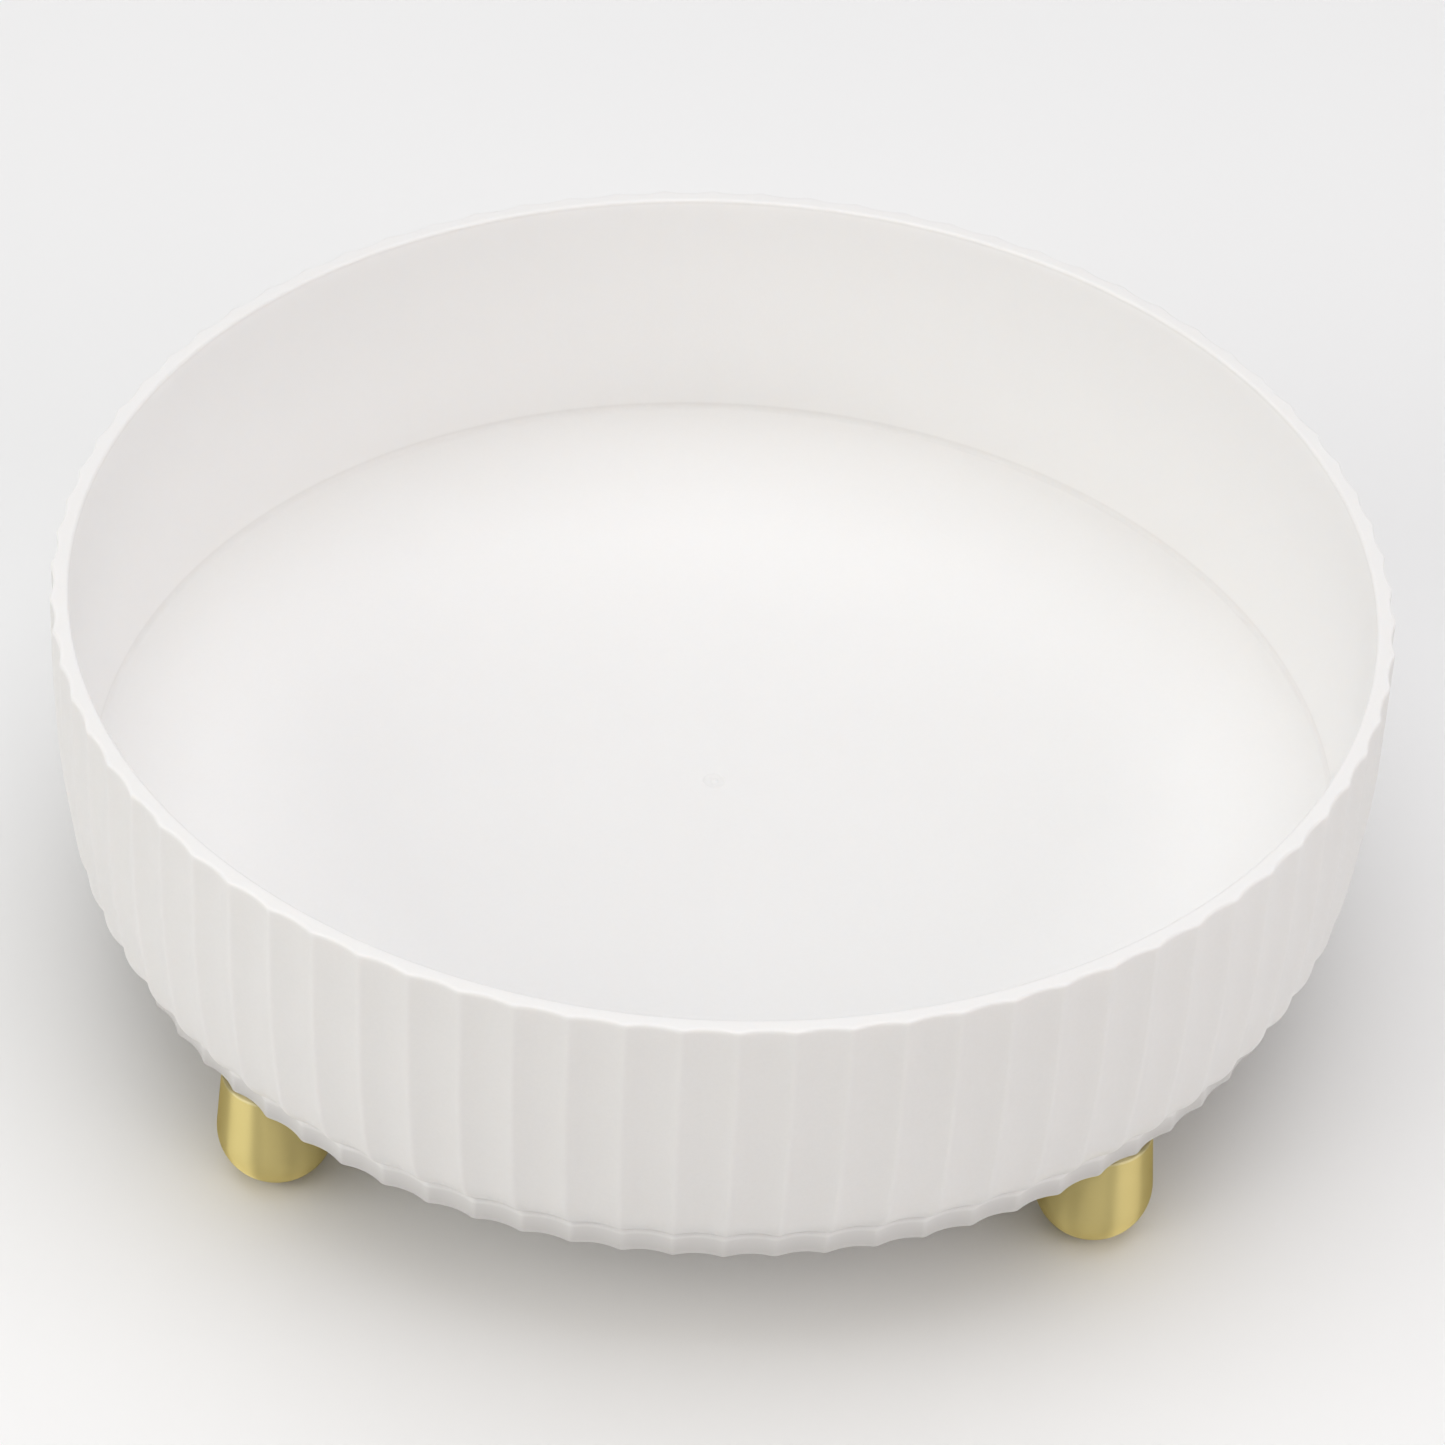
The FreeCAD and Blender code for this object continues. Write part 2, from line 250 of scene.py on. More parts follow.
def round_row(radius, z, wear_and_painted_light=0.0, count=SMOOTH_COUNT):
    """One closed plain ring of places (x, y, z, wear)."""
    places = []
    for index in range(count):
        angle = 2 * math.pi * index / count
        places.append((radius * math.cos(angle), radius * math.sin(angle), z, wear_and_painted_light))
    return places


def join_rows(first, second, faces):
    """Faces between two rings of vertex numbers. Where one is longer, its length is a multiple."""
    if len(first) == len(second):
        for k in range(len(first)):
            n = (k + 1) % len(first)
            faces.append((first[k], second[k], second[n], first[n]))
        return
    fine, coarse = (first, second) if len(first) > len(second) else (second, first)
    ratio = len(fine) // len(coarse)
    for k in range(len(coarse)):
        run = [fine[(k * ratio + i) % len(fine)] for i in range(ratio + 1)]
        ends = [coarse[(k + 1) % len(coarse)], coarse[k]]
        polygon = run + ends
        faces.append(tuple(reversed(polygon)) if fine is first else tuple(polygon))


def lathe(rows, start_z=None, end_z=None):
    """Places and faces of a surface through the rows. start_z and end_z close it on the axis."""
    places, faces, rings = [], [], []
    for row in rows:
        rings.append(list(range(len(places), len(places) + len(row))))
        places.extend(row)
    for first, second in zip(rings, rings[1:]):
        join_rows(first, second, faces)
    for ring, height, outward in ((rings[0], start_z, True), (rings[-1], end_z, False)):
        if height is None:
            continue
        centre = len(places)
        places.append((0.0, 0.0, height, places[ring[0]][3]))
        for k in range(len(ring)):
            n = (k + 1) % len(ring)
            faces.append((centre, ring[k], ring[n]) if outward else (centre, ring[n], ring[k]))
    return places, faces


def new_piece(name, places, faces):
    """A smooth-shaded mesh object from places (x, y, z, wear) in millimetres."""
    mesh = bpy.data.meshes.new(name)
    mesh.from_pydata([Vector(place[:3]) * MM for place in places], [], faces)
    wear_and_painted_light = mesh.attributes.new("wear_and_painted_light", "FLOAT", "POINT")
    wear_and_painted_light.data.foreach_set("value", [place[3] for place in places])
    cleaner = bmesh.new()
    cleaner.from_mesh(mesh)
    bmesh.ops.recalc_face_normals(cleaner, faces=cleaner.faces)
    cleaner.to_mesh(mesh)
    cleaner.free()
    for polygon in mesh.polygons:
        polygon.use_smooth = True
    piece = bpy.data.objects.new(name, mesh)
    bpy.context.scene.collection.objects.link(piece)
    return piece


# ---------------------------------------------------------------- the tray

def floor_centre_outline(floor_z):
    """The gate's mark: a small pip in a shallow round dimple."""
    bottom, crown, pip, dimple = floor_z - GATE_DEPTH, GATE_CROWN, GATE_PIP_RADIUS, GATE_RADIUS
    return [(pip - 0.3, floor_z - crown), (pip - 0.1, floor_z - 2 * crown),
            (pip, bottom), (pip + 0.2, bottom),
            (dimple - 0.3, bottom), (dimple - 0.1, bottom + crown),
            (dimple, floor_z - crown), (dimple + 0.15, floor_z), (dimple + 0.5, floor_z)]


def tray_inside_rows():
    """From the gate mark in the middle of the floor, out and up the wall to the flat of the rim."""
    floor_z = RIM_Z - FLOOR_DEPTH
    slope = math.degrees(math.atan2(RIM_INNER_RADIUS - FLOOR_RADIUS, FLOOR_DEPTH))
    rows = [round_row(radius, z, FLOOR_WEAR_AND_PAINTED_LIGHT if z >= floor_z else GATE_WEAR, CENTRE_COUNT)
            for radius, z in floor_centre_outline(floor_z)]
    fillet_r = FLOOR_RADIUS - FLOOR_ROUNDING * math.tan(math.radians(45 - slope / 2))
    # the floor's rows get a paler tone, partly from rubbing and partly painted light
    outline = [(radius, floor_z, FLOOR_WEAR_AND_PAINTED_LIGHT) for radius in (*FLOOR_ROW_RADII, fillet_r - HOLD)]
    outline += arc(fillet_r, floor_z + FLOOR_ROUNDING, FLOOR_ROUNDING, -90, -slope, 8, FLOOR_WEAR_AND_PAINTED_LIGHT)
    wall_start, wall_end = floor_z + FLOOR_ROUNDING + HOLD, RIM_Z - RIM_INNER_ROUNDING - HOLD
    # the inner wall's rows get a paler tone: painted light
    for step in range(INNER_WALL_STEPS + 1):
        z = wall_start + (wall_end - wall_start) * step / INNER_WALL_STEPS
        lean = (RIM_INNER_RADIUS - FLOOR_RADIUS) * (z - floor_z) / FLOOR_DEPTH
        outline.append((FLOOR_RADIUS + lean, z, INNER_WALL_PAINTED_LIGHT))
    outline += arc(RIM_INNER_RADIUS + RIM_INNER_ROUNDING, RIM_Z - RIM_INNER_ROUNDING,
                   RIM_INNER_ROUNDING, 180 - slope, 90, 8, RIM_WEAR)
    outline.append((RIM_INNER_RADIUS + RIM_INNER_ROUNDING + SHORT_HOLD, RIM_Z, RIM_WEAR))
    return rows + [round_row(*point) for point in outline]


def wall_outline():
    """The ridge line of the wall from rim to lower edge, as (r, z) or (r, z, wear) points."""
    straight_z, belly_z = RIM_Z - STRAIGHT_DEPTH, RIM_Z - BELLY_DEPTH
    band_z, edge_z = RIM_Z - BAND_TOP_DEPTH, RIM_Z - LOWER_EDGE_DEPTH
    belly_end = math.degrees(math.asin((straight_z - belly_z) / BELLY_RADIUS))
    outline = [(TRAY_RADIUS - RIM_OUTER_ROUNDING - SHORT_HOLD, RIM_Z, RIM_WEAR)]
    outline += arc(TRAY_RADIUS - RIM_OUTER_ROUNDING, RIM_Z - RIM_OUTER_ROUNDING,
                   RIM_OUTER_ROUNDING, 90, 0, 6, RIM_WEAR)
    outline += [(TRAY_RADIUS, RIM_Z - 1.0), (TRAY_RADIUS, RIM_Z - STRAIGHT_DEPTH / 2)]
    belly = arc(TRAY_RADIUS - BELLY_RADIUS, straight_z, BELLY_RADIUS, 0, -belly_end, 6)
    corner_r = belly[-1][0] - CORNER_RADIUS * math.cos(math.radians(belly_end))
    corner_z = belly[-1][1] + CORNER_RADIUS * math.sin(math.radians(belly_end))
    corner_end = math.degrees(math.asin((corner_z - band_z) / CORNER_RADIUS))
    corner = arc(corner_r, corner_z, CORNER_RADIUS, -belly_end, -corner_end, 9)
    outline += belly + corner[1:-1]
    crease_r, crease_z = corner[-1][:2]
    outline += [(crease_r + 0.02, crease_z + 0.03)]      # just over the crease, to keep it crisp
    shoulder_drop = SHOULDER_ROUNDING * math.sin(math.radians(SHOULDER_START_DEG))
    # the shoulder's rounding gets a paler tone: painted highlight
    outline += arc(BAND_RADIUS - SHOULDER_ROUNDING, crease_z - shoulder_drop,
                   SHOULDER_ROUNDING, SHOULDER_START_DEG, 0, 6, SHOULDER_PAINTED_HIGHLIGHT)
    outline += [(BAND_RADIUS - 0.01, crease_z - shoulder_drop - 0.5)]      # holds the band flat
    outline += [(LOWER_EDGE_RADIUS, edge_z + LOWER_EDGE_ROUNDING + HOLD)]
    outline += arc(LOWER_EDGE_RADIUS - LOWER_EDGE_ROUNDING, edge_z + LOWER_EDGE_ROUNDING,
                   LOWER_EDGE_ROUNDING, 0, -90, 8)
    outline += [(LOWER_EDGE_RADIUS - LOWER_EDGE_ROUNDING - SHORT_HOLD, edge_z)]
    return outline


def tray_under_outline():
    """From the lower edge, up the recess, under the floor, round the race and down the spindle."""
    edge_z, under_z = RIM_Z - LOWER_EDGE_DEPTH, RIM_Z - FLOOR_DEPTH - FLOOR_THICKNESS
    soft = SMALL_ROUNDING
    outer, inner = RACE_RADIUS + RACE_HALF_WIDTH, RACE_RADIUS - RACE_HALF_WIDTH
    groove_z = GROOVE_TOP - GROOVE_RADIUS
    half_turn = math.degrees(math.acos((RACE_BOTTOM - groove_z) / GROOVE_RADIUS))
    outline = [(RECESS_RADIUS + soft + SHORT_HOLD, edge_z)]
    outline += arc(RECESS_RADIUS + soft, edge_z + soft, soft, -90, -180, 4)
    outline += arc(RECESS_RADIUS - soft, under_z - soft, soft, 0, 90, 4)
    outline += arc(outer + soft, under_z - soft, soft, 90, 180, 4)
    outline += arc(outer - soft, RACE_BOTTOM + soft, soft, 0, -90, 4)
    outline += arc(RACE_RADIUS, groove_z, GROOVE_RADIUS, 90 - half_turn, 90 + half_turn, 12)
    outline += arc(inner + soft, RACE_BOTTOM + soft, soft, -90, -180, 4)
    outline += arc(inner - soft, under_z - soft, soft, 0, 90, 4)
    outline += arc(SPINDLE_RADIUS + soft, under_z - soft, soft, 90, 180, 4)
    outline += arc(SPINDLE_RADIUS - soft, SPINDLE_BOTTOM + soft, soft, 0, -90, 4)
    outline += [(PILOT_RADIUS, SPINDLE_BOTTOM), (PILOT_RADIUS, PILOT_TOP)]
    return outline


def soft_box(low, high, rounding):
    """Points and faces of a box with small bevelled edges, in millimetres."""
    box = bmesh.new()
    bmesh.ops.create_cube(box, size=1.0)
    size = Vector(high) - Vector(low)
    middle = (Vector(high) + Vector(low)) / 2
    bmesh.ops.scale(box, vec=size, verts=box.verts)
    bmesh.ops.translate(box, vec=middle, verts=box.verts)
    bmesh.ops.bevel(box, geom=box.edges[:], offset=rounding, segments=2, affect="EDGES")
    box.verts.index_update()
    points = [(*v.co, 0.0) for v in box.verts]
    faces = [tuple(v.index for v in f.verts) for f in box.faces]
    box.free()
    return points, faces


def add_turned(places, faces, points, polygons, angle_deg):
    """Adds points and faces, turned about the spin axis."""
    turn = Matrix.Rotation(math.radians(angle_deg), 3, "Z")
    first = len(places)
    places.extend((*(turn @ Vector(point[:3])), point[3]) for point in points)
    faces.extend(tuple(first + i for i in polygon) for polygon in polygons)


def make_tray():
    """The whole moulding: one lathed skin, and the ribs under the floor on both sides of the race."""
    rows = tray_inside_rows()
    rows += [fluted_row(*point) for point in wall_outline()]
    rows += [round_row(*point) for point in tray_under_outline()]
    floor_z = RIM_Z - FLOOR_DEPTH
    places, faces = lathe(rows, floor_z - GATE_CROWN, PILOT_TOP)
    under_z = floor_z - FLOOR_THICKNESS
    for inner, outer in ((SPINDLE_RADIUS, RACE_RADIUS - RACE_HALF_WIDTH),
                         (RACE_RADIUS + RACE_HALF_WIDTH, RECESS_RADIUS)):
        low = (inner - TRAY_RIB_OVERLAP, -TRAY_RIB_THICKNESS / 2, under_z - TRAY_RIB_HEIGHT)
        high = (outer + TRAY_RIB_OVERLAP, TRAY_RIB_THICKNESS / 2, under_z + TRAY_RIB_OVERLAP)
        points, polygons = soft_box(low, high, TRAY_RIB_ROUNDING)
        for index in range(TRAY_RIB_COUNT):
            add_turned(places, faces, points, polygons, index * 360 / TRAY_RIB_COUNT)
    return new_piece("tray_moulding", places, faces)


# ---------------------------------------------------------------- the feet

def foot_outline():
    """From the pad's pocket out over the round bottom, up the tapered side and in to the hole."""
    taper = FOOT_TAPER_DEG
    flat_turn = math.degrees(math.asin((FOOT_CENTRE_Z - FOOT_FLAT_Z) / FOOT_RADIUS))
    side_r = FOOT_RADIUS * math.cos(math.radians(taper))
    side_z = FOOT_CENTRE_Z + FOOT_RADIUS * math.sin(math.radians(taper))
    top_z = FOOT_TOP - FOOT_TOP_ROUNDING
    top_r = side_r - (top_z - side_z) * math.tan(math.radians(taper))
    soft = FOOT_SMALL_ROUNDING
    cut = 0.3 * soft             # how far a round corner's middle lies in from the sharp corner
    outline = [(PAD_POCKET_RADIUS, PAD_THICKNESS), (PAD_POCKET_RADIUS, FOOT_FLAT_Z + soft)]
    outline += [(PAD_POCKET_RADIUS + cut, FOOT_FLAT_Z + cut, FOOT_EDGE_WEAR),
                (PAD_POCKET_RADIUS + soft, FOOT_FLAT_Z, FOOT_EDGE_WEAR)]
    outline += arc(0, FOOT_CENTRE_Z, FOOT_RADIUS, FOOT_BOTTOM_GAP_DEG - flat_turn, taper, 26)
    outline += [(side_r - (z - side_z) * math.tan(math.radians(taper)), z)
                for z in (*FOOT_SIDE_ROWS, top_z - FOOT_TOP_ROUNDING)]
    outline += arc(top_r - FOOT_TOP_ROUNDING, top_z, FOOT_TOP_ROUNDING, taper, 90, 6,
                   FOOT_EDGE_WEAR)
    outline += [(SPIGOT_RADIUS + soft, FOOT_TOP), (SPIGOT_RADIUS, FOOT_TOP + soft)]
    outline += arc(SPIGOT_RADIUS - soft, SPIGOT_TOP - soft, soft, 0, 90, 3)
    outline += [(FOOT_HOLE_RADIUS, SPIGOT_TOP), (FOOT_HOLE_RADIUS, FOOT_HOLE_BOTTOM)]
    return outline


def pad_outline():
    """The soft pad, with shallow grip grooves in its underside."""
    outline = []
    for inner, outer in GRIP_RINGS:
        outline += [(inner, 0.0), (inner + GRIP_DEPTH, GRIP_DEPTH),
                    (outer - GRIP_DEPTH, GRIP_DEPTH), (outer, 0.0)]
    lower, upper = PAD_LOWER_ROUNDING, PAD_UPPER_ROUNDING
    outline += arc(PAD_RADIUS - lower, lower, lower, -90, 0, 5)
    outline += arc(PAD_RADIUS - upper, PAD_THICKNESS - upper, upper, 0, 90, 3)
    return outline


def make_foot_pieces(place, angle_deg):
    """A foot and its pad, lathed on the spin axis and then moved out to their corner."""
    pieces = []
    turn = Matrix.Rotation(math.radians(angle_deg), 4, "Z")
    out = Matrix.Translation((FOOT_CIRCLE_RADIUS * MM, 0, 0))
    for name, outline, start_z, end_z in (
            ("gold_foot_", foot_outline(), PAD_THICKNESS, FOOT_HOLE_BOTTOM),
            ("soft_pad_", pad_outline(), 0.0, PAD_THICKNESS)):
        rows = [round_row(*point, count=FOOT_COUNT) for point in outline]
        places, faces = lathe(rows, start_z, end_z)
        piece = new_piece(name + place, places, faces)
        piece.data.transform(turn @ out)
        pieces.append(piece)
    return pieces


# ---------------------------------------------------------------- materials

class Shader:
    """A Principled material with short calls for its texture nodes. Scales are per metre."""

    def __init__(self, name):
        self.material = bpy.data.materials.new(name)
        self.material.use_nodes = True
        self.nodes = self.material.node_tree.nodes
        self.links = self.material.node_tree.links
        self.surface = next(n for n in self.nodes if n.type == "BSDF_PRINCIPLED")
        self.place = self.nodes.new("ShaderNodeTexCoord").outputs["Object"]

    def fixed(self, **values):
        for name, value in values.items():
            self.surface.inputs[name.replace("_", " ")].default_value = value

    def noise(self, scale, detail=3.0, roughness=0.5, stretch=None):
        node = self.nodes.new("ShaderNodeTexNoise")
        node.inputs["Scale"].default_value = scale
        node.inputs["Detail"].default_value = detail
        node.inputs["Roughness"].default_value = roughness
        source = self.place
        if stretch:
            mapping = self.nodes.new("ShaderNodeMapping")
            mapping.inputs["Scale"].default_value = stretch
            self.links.new(self.place, mapping.inputs["Vector"])
            source = mapping.outputs["Vector"]
        self.links.new(source, node.inputs["Vector"])
        return node.outputs["Fac"]

    def ramp(self, source, low, high, low_colour, high_colour):
        node = self.nodes.new("ShaderNodeValToRGB")
        ends = node.color_ramp.elements
        ends[0].position, ends[1].position = low, high
        ends[0].color, ends[1].color = (*low_colour, 1), (*high_colour, 1)
        self.links.new(source, node.inputs["Fac"])
        return node.outputs["Color"]

    def span(self, source, low, high, out_low, out_high):
        node = self.nodes.new("ShaderNodeMapRange")
        for name, value in (("From Min", low), ("From Max", high),
                            ("To Min", out_low), ("To Max", out_high)):
            node.inputs[name].default_value = value
        self.links.new(source, node.inputs["Value"])
        return node.outputs["Result"]

    def cloudy(self, scale, detail, first_colour, second_colour):
        """A colour that drifts between two tones."""
        return self.ramp(self.noise(scale, detail), NOISE_LOW, NOISE_HIGH, first_colour,
                         second_colour)

    def uneven(self, scale, detail, low, high):
        """A value that drifts between two limits."""
        return self.span(self.noise(scale, detail), NOISE_LOW, NOISE_HIGH, low, high)

    def maths(self, operation, first, second):
        node = self.nodes.new("ShaderNodeMath")
        node.operation = operation
        for socket, value in zip(node.inputs, (first, second)):
            if isinstance(value, (int, float)):
                socket.default_value = value
            else:
                self.links.new(value, socket)
        return node.outputs["Value"]

    def mix(self, share, first, second, blend="MIX"):
        node = self.nodes.new("ShaderNodeMix")
        node.data_type = "RGBA"
        node.blend_type = blend
        for socket, value in ((node.inputs["Factor"], share), (node.inputs[6], first),
                              (node.inputs[7], second)):
            if isinstance(value, (int, float)):
                socket.default_value = value
            elif isinstance(value, tuple):
                socket.default_value = (*value, 1)
            else:
                self.links.new(value, socket)
        return node.outputs[2]

    def wear_and_painted_light(self):
        """1 where a piece made here is rubbed, and on the tray also where it carries painted light,
        as it was built; 0 elsewhere.
        """
        node = self.nodes.new("ShaderNodeAttribute")
        node.attribute_name = "wear_and_painted_light"
        return node.outputs["Fac"]

    def below(self, high, low):
        """0 above the high level, 1 under the low one. Both are in millimetres."""
        node = self.nodes.new("ShaderNodeSeparateXYZ")
        self.links.new(self.place, node.inputs["Vector"])
        return self.span(node.outputs["Z"], low * MM, high * MM, 1, 0)

    def edges(self, reach):
        """1 within reach of a sharp edge of a CAD piece, 0 on flat ground."""
        bevel = self.nodes.new("ShaderNodeBevel")
        bevel.samples = 4
        bevel.inputs["Radius"].default_value = reach
        geometry = self.nodes.new("ShaderNodeNewGeometry")
        dot = self.nodes.new("ShaderNodeVectorMath")
        dot.operation = "DOT_PRODUCT"
        self.links.new(bevel.outputs["Normal"], dot.inputs[0])
        self.links.new(geometry.outputs["Normal"], dot.inputs[1])
        return self.span(dot.outputs["Value"], 1.0, 0.9, 0, 1)

    def bump(self, source, distance, strength=1.0, below=None):
        node = self.nodes.new("ShaderNodeBump")
        node.inputs["Distance"].default_value = distance
        node.inputs["Strength"].default_value = strength
        self.links.new(source, node.inputs["Height"])
        if below:
            self.links.new(below, node.inputs["Normal"])
        return node.outputs["Normal"]

    def colour(self, source):
        self.links.new(source, self.surface.inputs["Base Color"])

    def roughness(self, source):
        self.links.new(source, self.surface.inputs["Roughness"])

    def normal(self, source):
        self.links.new(source, self.surface.inputs["Normal"])


def moulded_plastic(shader, rubbed, dark, light, rough_low, rough_high, painted_shade=None):
    """Matte moulded plastic: faint cloudy tone, fine spark-eroded grain, smoother and paler where
    rubbed, and paler also where the tray carries painted light.

    Where the last argument is 1 the colour is darkened towards grey: painted shade low on the tray,
    near the table, not soil.
    """
    colour = shader.cloudy(18, 2.0, dark, light)
    fine = shader.noise(1500, 3.0, 0.6)
    specks = shader.ramp(fine, 0.35, 0.65, (0.75, 0.75, 0.74), (1, 1, 1))
    colour = shader.mix(0.05, colour, specks, "MULTIPLY")
    # paler where rubbed; on the tray's floor, inner wall and band shoulder this paler tone is painted
    # light
    colour = shader.mix(shader.maths("MULTIPLY", rubbed, CLEAN_AND_PAINTED_LIGHT_SHARE), colour, CLEAN_AND_PAINTED_LIGHT_TONE)
    # painted shade: darkened towards grey low on the tray, where shade falls near the table
    if painted_shade is not None:
        colour = shader.mix(painted_shade, colour, PAINTED_SHADE_TONE)
    shader.colour(colour)
    smoothing = shader.maths("MULTIPLY", rubbed, CLEAN_SMOOTHING)
    rough = shader.uneven(140, 4.0, rough_low, rough_high)
    shader.roughness(shader.maths("SUBTRACT", rough, smoothing))
    waves = shader.bump(shader.noise(60, 1.0), 0.00003, 0.5)
    shader.normal(shader.bump(fine, GRAIN_HEIGHT, 0.6, waves))
    shader.fixed(IOR=1.48)


def tray_plastic():
    """White moulding, slightly translucent, with painted shade on the band and just over the crease,
    and painted light on the floor, the inner wall and the band's shoulder.
    """
    shader = Shader("white_tray_plastic")
    crease_z, edge_z = RIM_Z - BAND_TOP_DEPTH, RIM_Z - LOWER_EDGE_DEPTH
    # painted shade: the band is darkened towards grey, and the belly just over the crease a little
    band = shader.below(crease_z, edge_z)
    belly = shader.maths("MULTIPLY", shader.below(crease_z + BELLY_PAINTED_SHADE_HEIGHT, crease_z),
                         BELLY_PAINTED_SHADE_SHARE)
    moulded_plastic(shader, shader.wear_and_painted_light(), (0.820, 0.811, 0.799), (0.836, 0.828, 0.817),
                    0.42, 0.52, shader.maths("ADD", band, belly))
    shader.fixed(Subsurface_Weight=0.6, Subsurface_Scale=0.0015, Subsurface_Radius=(1, 0.95, 0.9))
    return shader.material


def base_plastic():
    """As the tray's, a little rougher, and rubbed clean along its edges."""
    shader = Shader("white_base_plastic")
    moulded_plastic(shader, shader.edges(0.0004), (0.80, 0.79, 0.77), (0.84, 0.83, 0.81),
                    0.46, 0.60)
    return shader.material


def acetal():
    """Natural bearing plastic: smoother and slightly waxy, with faint turning marks."""
    shader = Shader("natural_acetal")
    tone = shader.cloudy(90, 3.0, (0.74, 0.74, 0.70), (0.82, 0.82, 0.79))
    rubbed = shader.maths("MULTIPLY", shader.edges(0.0003), 0.4)
    shader.colour(shader.mix(rubbed, tone, (0.88, 0.88, 0.86)))
    shader.roughness(shader.uneven(400, 3.0, 0.28, 0.40))
    shader.normal(shader.bump(shader.noise(3000, 2.0, 0.5, (0.2, 0.2, 3.0)), 0.00001, 0.5))
    shader.fixed(Subsurface_Weight=0.1, Subsurface_Scale=0.001)
    return shader.material


def satin_gold():
    """Gold plate over fine turning marks, which draw its highlights out upright; paler where worn."""
    shader = Shader("satin_gold")
    tone = shader.cloudy(70, 2.0, (0.80, 0.68, 0.295), (0.82, 0.70, 0.31))
    rubbed = shader.maths("MULTIPLY", shader.wear_and_painted_light(), 0.6)
    shader.colour(shader.mix(rubbed, tone, (0.90, 0.82, 0.52)))
    shader.roughness(shader.uneven(120, 2.0, 0.44, 0.47))
    shader.normal(shader.bump(shader.noise(9000, 2.0), 0.0000005, 0.5))
    round_the_foot = shader.nodes.new("ShaderNodeTangent")
    round_the_foot.direction_type = "RADIAL"
    round_the_foot.axis = "Z"
    shader.links.new(round_the_foot.outputs["Tangent"], shader.surface.inputs["Tangent"])
    shader.fixed(Metallic=1.0, Anisotropic=1.0, Anisotropic_Rotation=0.25,
                 Specular_Tint=(0.42, 0.34, 0.20, 1))
    return shader.material


def soft_rubber():
    """Milky translucent pads."""
    shader = Shader("clear_soft_pad")
    shader.colour(shader.cloudy(300, 3.0, (0.60, 0.60, 0.58), (0.72, 0.72, 0.70)))
    shader.roughness(shader.uneven(700, 3.0, 0.35, 0.55))
    shader.normal(shader.bump(shader.noise(2500, 2.0), 0.00002, 0.5))
    shader.fixed(Subsurface_Weight=0.35, Subsurface_Scale=0.002, IOR=1.41)
    return shader.material


def zinc_steel():
    """Zinc-plated screws: a pale grey with a mottled passivated tone and fine tool marks."""
    shader = Shader("zinc_plated_steel")
    tone = shader.cloudy(700, 4.0, (0.50, 0.51, 0.53), (0.66, 0.66, 0.65))
    rubbed = shader.maths("MULTIPLY", shader.edges(0.0002), 0.6)
    shader.colour(shader.mix(rubbed, tone, (0.85, 0.85, 0.84)))
    shader.roughness(shader.uneven(1500, 3.0, 0.24, 0.42))
    shader.normal(shader.bump(shader.noise(4000, 2.0, 0.5, (1.0, 8.0, 1.0)), 0.000005, 0.5))
    shader.fixed(Metallic=1.0)
    return shader.material


def ball_steel():
    """Polished bearing balls with fine scratches."""
    shader = Shader("polished_ball_steel")
    shader.colour(shader.cloudy(800, 3.0, (0.60, 0.60, 0.62), (0.68, 0.68, 0.69)))
    shader.roughness(shader.span(shader.noise(2500, 4.0), 0.35, 0.75, 0.06, 0.16))
    shader.normal(shader.bump(shader.noise(6000, 2.0, 0.5, (12.0, 1.0, 1.0)), 0.000002, 0.4))
    shader.fixed(Metallic=1.0)
    return shader.material


def pale_table():
    """A plain table top with hardly any tone of its own."""
    shader = Shader("pale_table")
    darker = tuple(0.99 * value for value in TABLE_COLOUR)
    shader.colour(shader.cloudy(4, 2.0, darker, TABLE_COLOUR))
    shader.fixed(Roughness=0.7, IOR=1.3)
    return shader.material


# ---------------------------------------------------------------- studio

def add_softbox(name, compass_deg, elevation_deg, distance, width, height, power, colour):
    """An area light that faces the object from a compass angle round it and an elevation."""
    lamp = bpy.data.lights.new(name, "AREA")
    lamp.shape = "RECTANGLE"
    lamp.size, lamp.size_y = width, height
    lamp.energy = power
    lamp.color = colour
    light = bpy.data.objects.new(name, lamp)
    compass, elevation = math.radians(compass_deg), math.radians(elevation_deg)
    away = Vector((math.cos(compass) * math.cos(elevation), math.sin(compass) * math.cos(elevation),
                   math.sin(elevation)))
    light.location = Vector((0, 0, cad_high.z / 2)) + away * distance
    light.rotation_mode = "QUATERNION"
    light.rotation_quaternion = (-away).to_track_quat("-Z", "Y")
    bpy.context.scene.collection.objects.link(light)


def make_room_light():
    """A plain room that is a little darker at the horizon than overhead."""
    world = bpy.data.worlds.new("studio")
    bpy.context.scene.world = world
    world.use_nodes = True
    nodes, links = world.node_tree.nodes, world.node_tree.links
    direction = nodes.new("ShaderNodeTexCoord").outputs["Generated"]
    height = nodes.new("ShaderNodeSeparateXYZ")
    links.new(direction, height.inputs["Vector"])
    share = nodes.new("ShaderNodeMapRange")
    share.interpolation_type = "SMOOTHSTEP"
    share.inputs["From Max"].default_value = OVERHEAD_FROM
    links.new(height.outputs["Z"], share.inputs["Value"])
    blend = nodes.new("ShaderNodeMix")
    blend.data_type = "RGBA"
    blend.inputs[6].default_value = (*HORIZON_LIGHT, 1)
    blend.inputs[7].default_value = (*OVERHEAD_LIGHT, 1)
    links.new(share.outputs["Result"], blend.inputs["Factor"])
    links.new(blend.outputs[2], nodes["Background"].inputs["Color"])


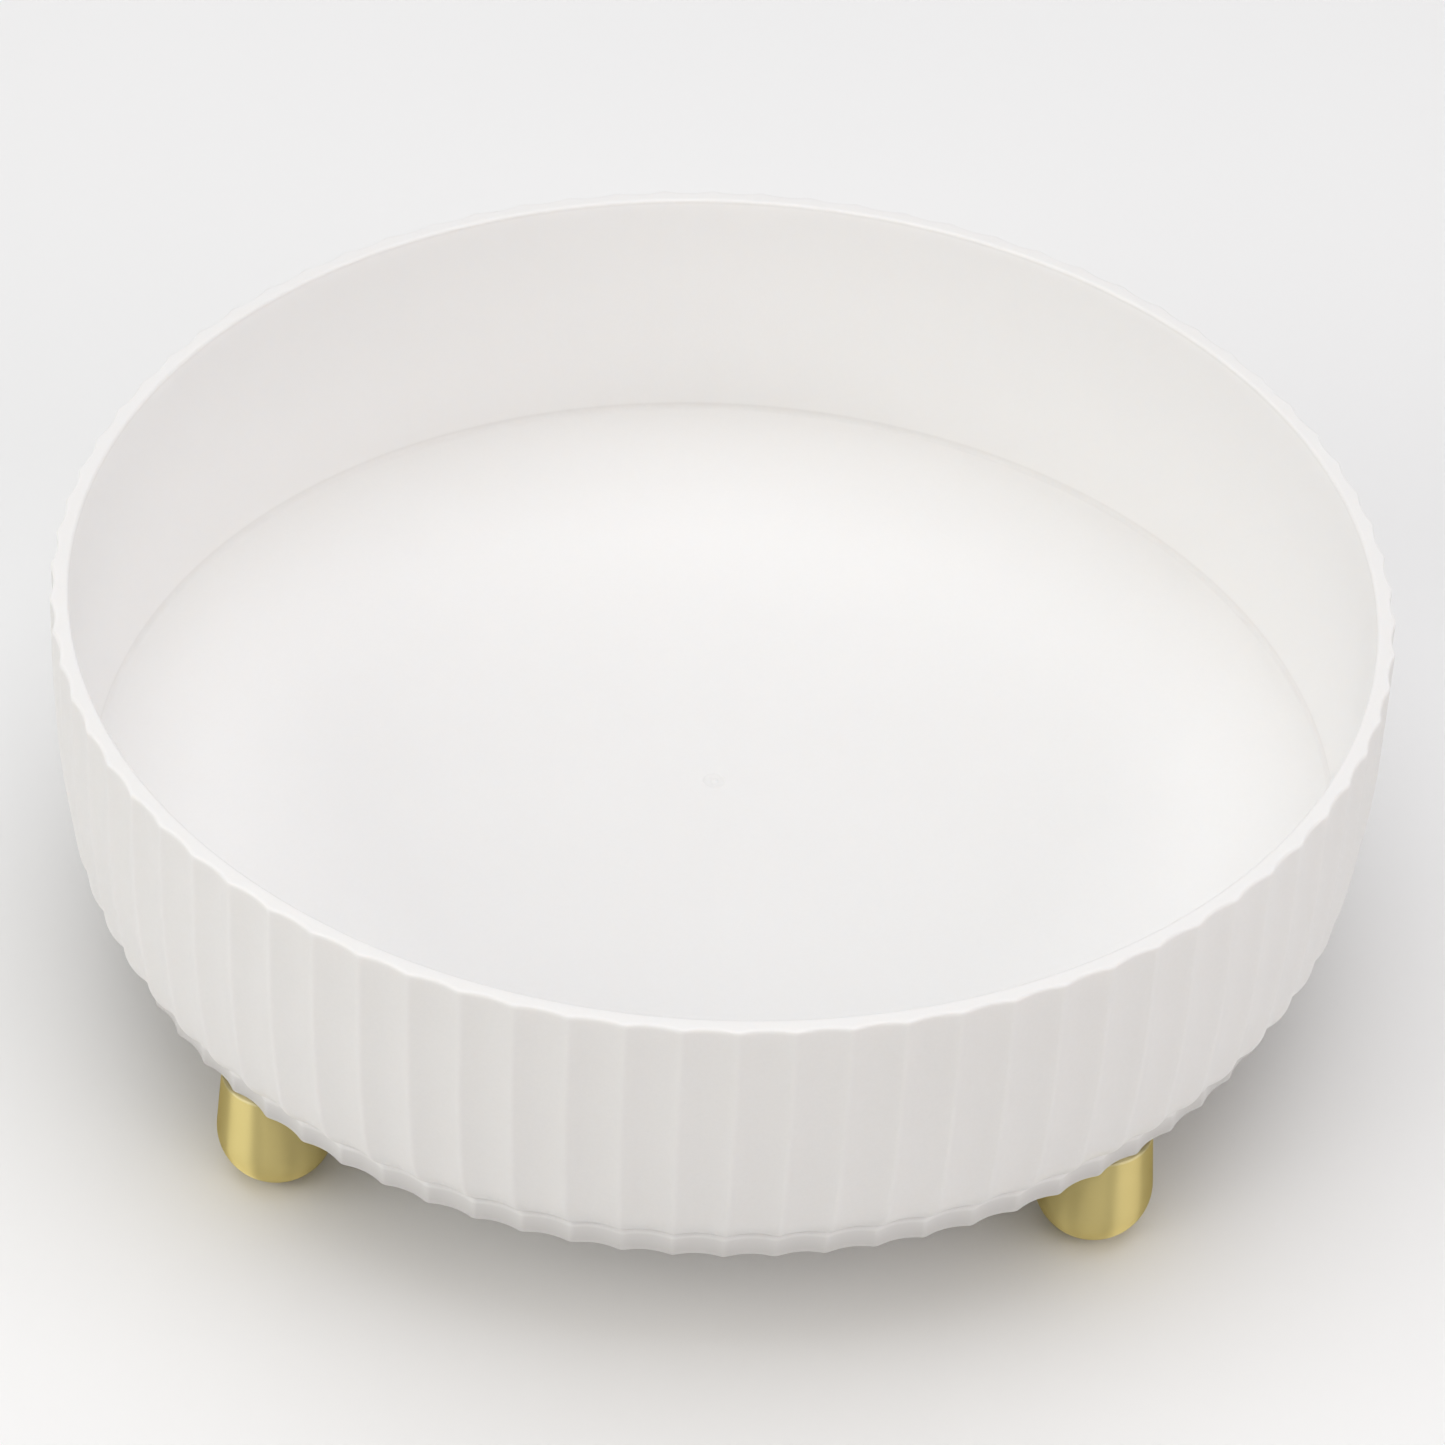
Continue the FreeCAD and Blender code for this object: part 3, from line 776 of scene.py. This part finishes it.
def make_table():
    """The plain table top, which is part of the stage and not of the object."""
    mesh = bpy.data.meshes.new("table_top")
    half = TABLE_SIDE / 2
    mesh.from_pydata([(-half, -half, 0), (half, -half, 0), (half, half, 0), (-half, half, 0)],
                     [], [(0, 1, 2, 3)])
    table = bpy.data.objects.new("table_top", mesh)
    mesh.materials.append(pale_table())
    bpy.context.scene.collection.objects.link(table)


def make_studio():
    make_room_light()
    for softbox in SOFTBOXES:
        add_softbox(*softbox)
    make_table()
    bpy.context.scene.view_settings.view_transform = "Standard"


def make_camera():
    """A long lens that looks down on the rim from the front, rolled slightly."""
    lens = bpy.data.cameras.new("camera")
    lens.sensor_width = CAMERA_SENSOR_MM
    lens.lens = CAMERA_LENS_MM
    lens.clip_start, lens.clip_end = 0.01, 50
    camera = bpy.data.objects.new("camera", lens)
    turn = Matrix.Rotation(math.radians(CAMERA_AZIMUTH_DEG), 4, "Z")
    aim = turn @ Vector((AIM_RIGHT, AIM_FORWARD, cad_high.z))
    tilt = Matrix.Rotation(math.radians(90 - CAMERA_ELEVATION_DEG), 4, "X")
    roll = Matrix.Rotation(math.radians(CAMERA_ROLL_DEG), 4, "Z")
    back = Matrix.Translation((0, 0, CAMERA_DISTANCE))
    camera.matrix_world = Matrix.Translation(aim) @ turn @ tilt @ roll @ back
    bpy.context.scene.collection.objects.link(camera)
    bpy.context.scene.camera = camera


# ---------------------------------------------------------------- assembly

def dress(piece, material):
    """Gives a piece one material all over."""
    piece.data.materials.clear()
    piece.data.materials.append(material)


def put_on(piece, body, material, node):
    """Lets a piece made here stand for a CAD node, on its body and with its finish."""
    dress(piece, material)
    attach(piece, body)
    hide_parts(node)


make_camera()
make_studio()

finishes = {
    "tray": tray_plastic(),
    "base": base_plastic(),
    "bearing_plastic": acetal(),
    "foot_gold": satin_gold(),
    "pad": soft_rubber(),
    "steel": zinc_steel(),
    "ball_steel": ball_steel(),
}

put_on(make_tray(), "tray", finishes["tray"], "tray")
for place, angle_deg in FOOT_ANGLES_DEG.items():
    foot, pad = make_foot_pieces(place, angle_deg)
    put_on(foot, "base", finishes["foot_gold"], "foot_" + place)
    put_on(pad, "base", finishes["pad"], "foot_pad_" + place)

slot_of_node = {entry["node"]: entry["material_slot"] for entry in frame["record"]["subparts"]}
for node_name, node in frame["nodes"].items():
    dress(node, finishes[slot_of_node[node_name]])
